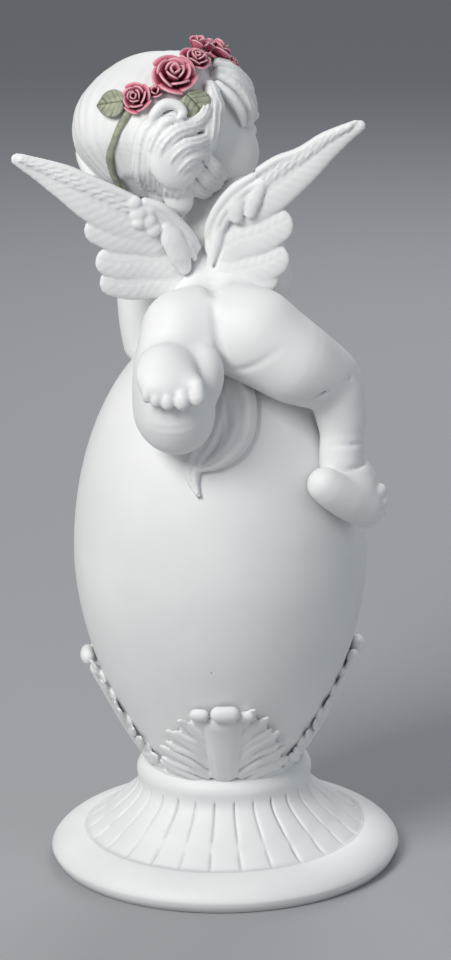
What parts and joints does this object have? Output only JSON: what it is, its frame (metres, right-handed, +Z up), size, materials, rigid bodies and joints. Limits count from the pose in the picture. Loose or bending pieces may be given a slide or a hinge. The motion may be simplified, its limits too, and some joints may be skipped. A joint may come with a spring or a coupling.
{
  "type": "cherub figurine",
  "caption": "Cast figurine of a winged child climbing over a tall egg on a fluted round foot, with acanthus leaves round the egg's base and a wreath of roses on the child's head.",
  "frame": {"origin": "centre of the flat underside of the foot", "axes": "+Z up through the egg, +Y the way the child's chest faces, +X the child's right, where its face is turned"},
  "size_m": [0.1174, 0.122, 0.2712],
  "materials": {
    "white_resin": "matte cast resin, white",
    "rose_paint": "dusty rose paint, matt",
    "leaf_paint": "grey-green paint, matt"
  },
  "bodies": {
    "root": {"figurine": "white_resin"}
  },
  "joints": []
}
